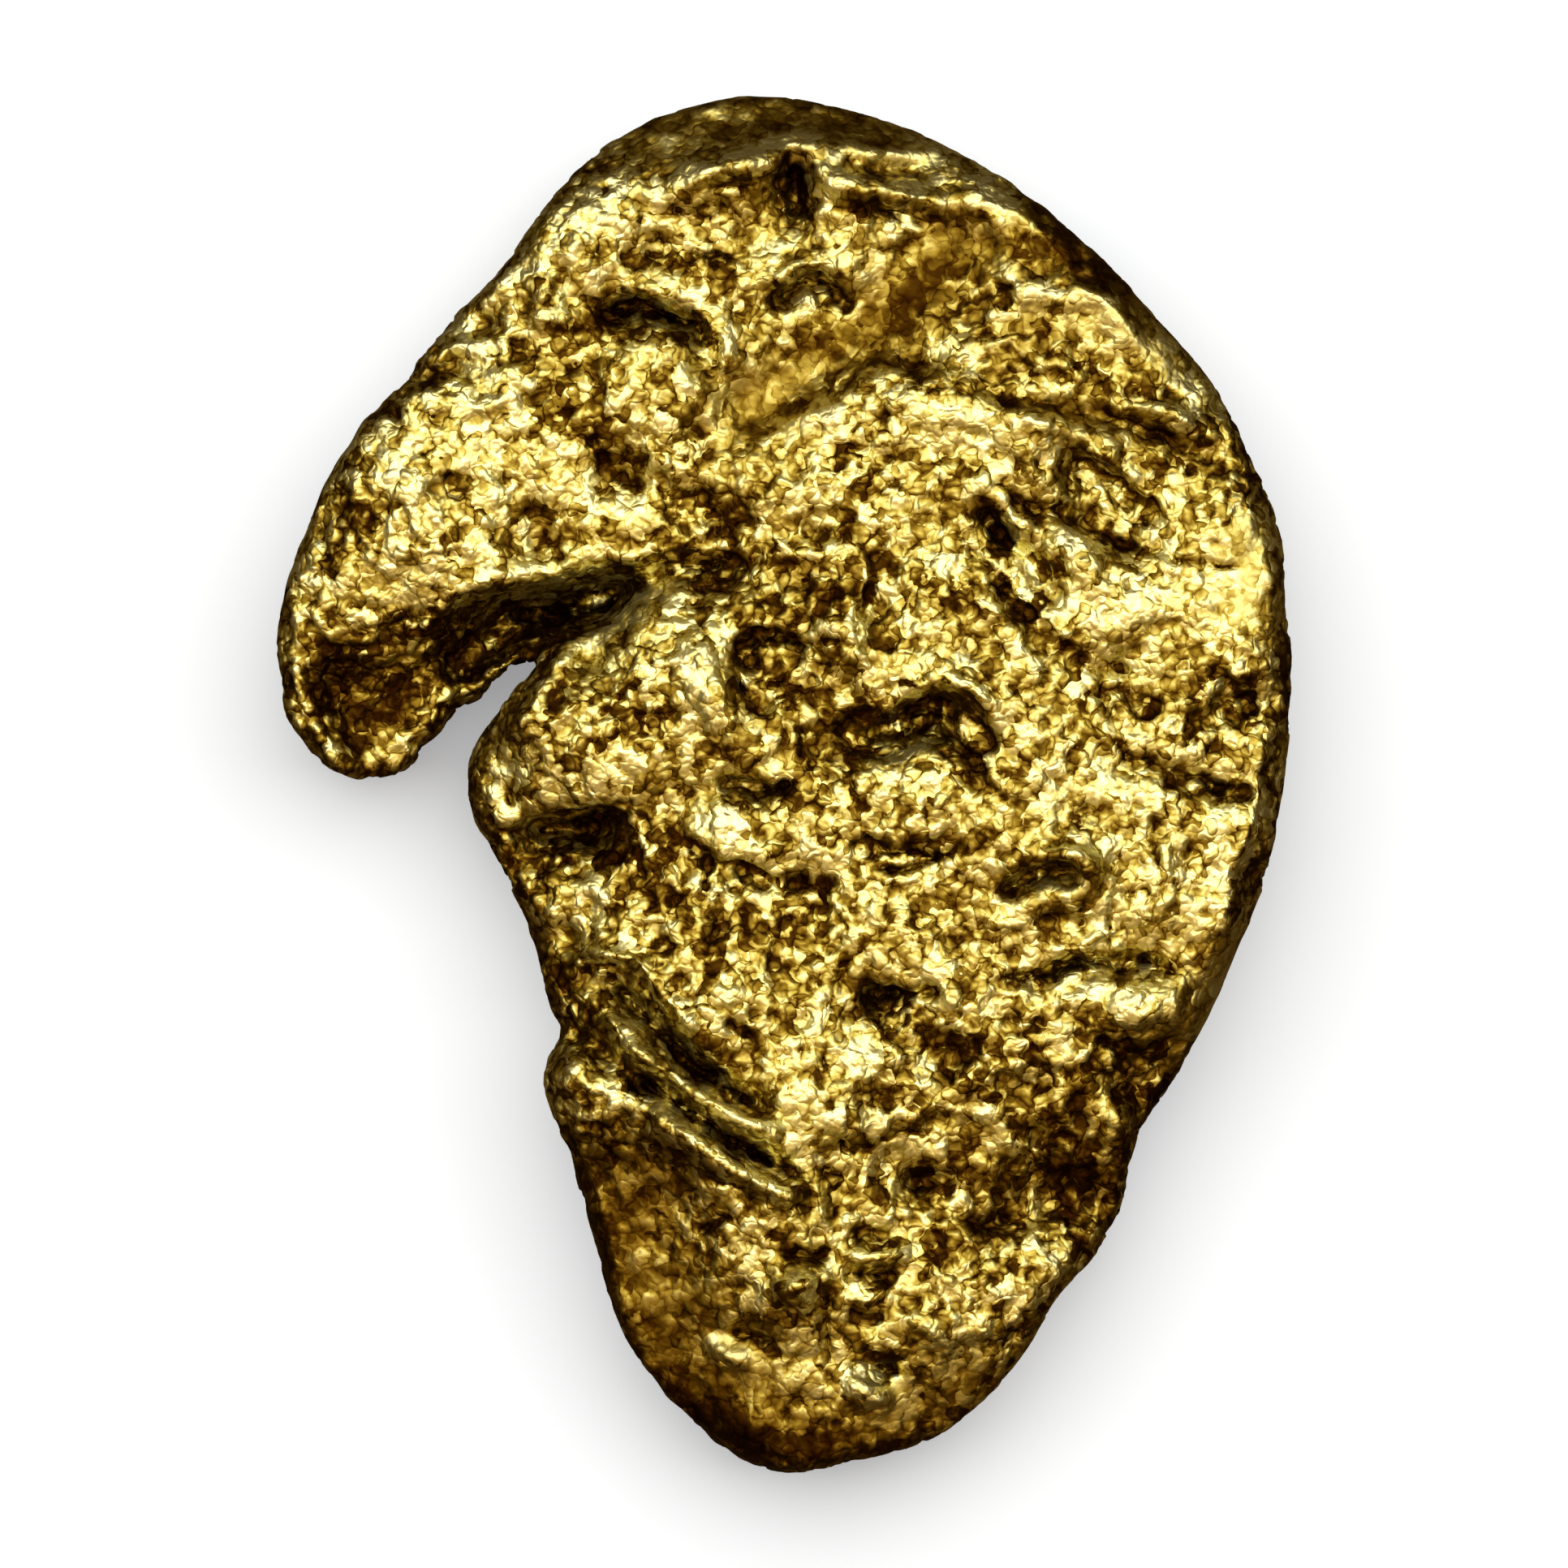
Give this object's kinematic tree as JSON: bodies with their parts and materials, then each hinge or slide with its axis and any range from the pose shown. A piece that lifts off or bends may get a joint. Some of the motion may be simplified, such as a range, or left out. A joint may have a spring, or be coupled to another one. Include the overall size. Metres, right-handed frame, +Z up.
{
  "type": "gold nugget",
  "caption": "Flattened natural gold nugget with a rough, pitted upper face, a bent arm beside a narrow slot, and a tapering tail.",
  "frame": {"origin": "middle of the nugget's box, on the surface that it lies on", "axes": "+X across the nugget, away from its bent arm; +Y along its length, from the narrow tail to the broad end; +Z up, out of the rough upper face"},
  "size_m": [0.0178, 0.0242, 0.0043],
  "materials": {
    "native_gold": "satin"
  },
  "bodies": {
    "root": {"nugget": "native_gold"}
  },
  "joints": []
}
